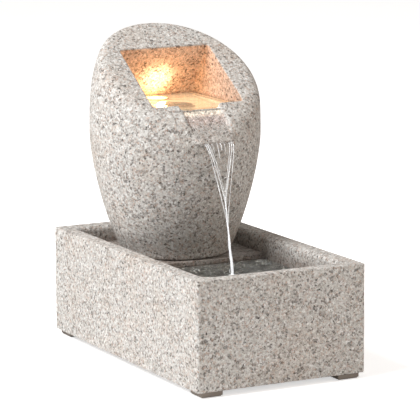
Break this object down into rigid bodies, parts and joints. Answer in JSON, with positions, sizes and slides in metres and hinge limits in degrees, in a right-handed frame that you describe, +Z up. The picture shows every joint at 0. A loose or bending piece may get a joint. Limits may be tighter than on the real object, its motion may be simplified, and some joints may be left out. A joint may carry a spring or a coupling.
{
  "type": "tabletop water fountain",
  "caption": "Rectangular cast trough with a lift-out deck over a small pump and an egg-shaped vessel whose slanted lit recess pours over a spout lip into the pool.",
  "frame": {"origin": "middle of the footprint, on the surface that the four feet stand on", "axes": "+Z up; the front, with the pool and the spout, faces -Y; X runs across the trough"},
  "size_m": [0.17, 0.296, 0.3028],
  "materials": {
    "cast_stone": "matte",
    "foot_rubber": "matte",
    "black_plastic": "satin",
    "grey_plastic": "satin",
    "black_rubber": "matte",
    "clear_tube": "gloss",
    "lamp_lens": "satin",
    "circuit_board": "satin",
    "steel": "satin",
    "copper_winding": "satin",
    "white_ceramic": "satin",
    "ferrite": "satin",
    "filter_foam": "matte",
    "water": "gloss"
  },
  "bodies": {
    "trough": {"basin": "cast_stone", "foot_front_left": "foot_rubber", "foot_front_right": "foot_rubber", "foot_rear_left": "foot_rubber", "foot_rear_right": "foot_rubber", "pump_case": "black_plastic", "stator_core": "steel", "stator_coil": "copper_winding", "pump_back_cover": "black_plastic", "pump_shaft": "white_ceramic", "rear_bush": "black_rubber", "front_bush": "black_rubber", "volute_cover": "grey_plastic", "outlet_nozzle": "black_plastic", "lamp_socket": "grey_plastic", "suction_cup_front_left": "black_rubber", "suction_cup_front_right": "black_rubber", "suction_cup_rear_left": "black_rubber", "suction_cup_rear_right": "black_rubber", "power_socket": "black_plastic", "socket_pin": "steel", "socket_seal": "black_rubber", "socket_nut": "black_plastic", "pump_lead": "black_rubber"},
    "dial": {"flow_dial": "grey_plastic"},
    "filter": {"intake_grille": "black_plastic", "filter_sponge": "filter_foam"},
    "impeller": {"impeller_wheel": "grey_plastic", "rotor_magnet": "ferrite"},
    "deck": {"pump_deck": "cast_stone", "deck_screen": "cast_stone"},
    "vessel": {"vessel": "cast_stone", "recess_fitting": "black_plastic", "fitting_washer": "black_rubber", "fitting_nut": "black_plastic", "diffuser_cap": "grey_plastic", "riser_tube": "clear_tube", "tube_clamp": "steel", "lamp_housing": "black_plastic", "lamp_lens": "lamp_lens", "lamp_board": "circuit_board", "lamp_seal": "black_rubber", "lamp_nut": "black_plastic", "lamp_lead": "black_rubber", "lamp_plug": "black_plastic"}
  },
  "joints": [
    {"name": "deck_lift", "type": "slide", "parent": "trough", "child": "deck", "axis": [0, 0, 1], "range_m": [0, 0.1]},
    {"name": "vessel_lift", "type": "slide", "parent": "deck", "child": "vessel", "axis": [0, 0, 1], "range_m": [0, 0.06]},
    {"name": "impeller_spin", "type": "hinge", "parent": "trough", "child": "impeller", "pos_m": [0, 0.055, 0.041], "axis": [0, 1, 0], "continuous": true},
    {"name": "flow_dial_turn", "type": "hinge", "parent": "trough", "child": "dial", "pos_m": [-0.013, 0.0505, 0.062], "axis": [0, 0, 1], "range_deg": [0, 90]},
    {"name": "filter_slide", "type": "slide", "parent": "trough", "child": "filter", "axis": [0, -1, 0], "range_m": [0, 0.016]}
  ]
}
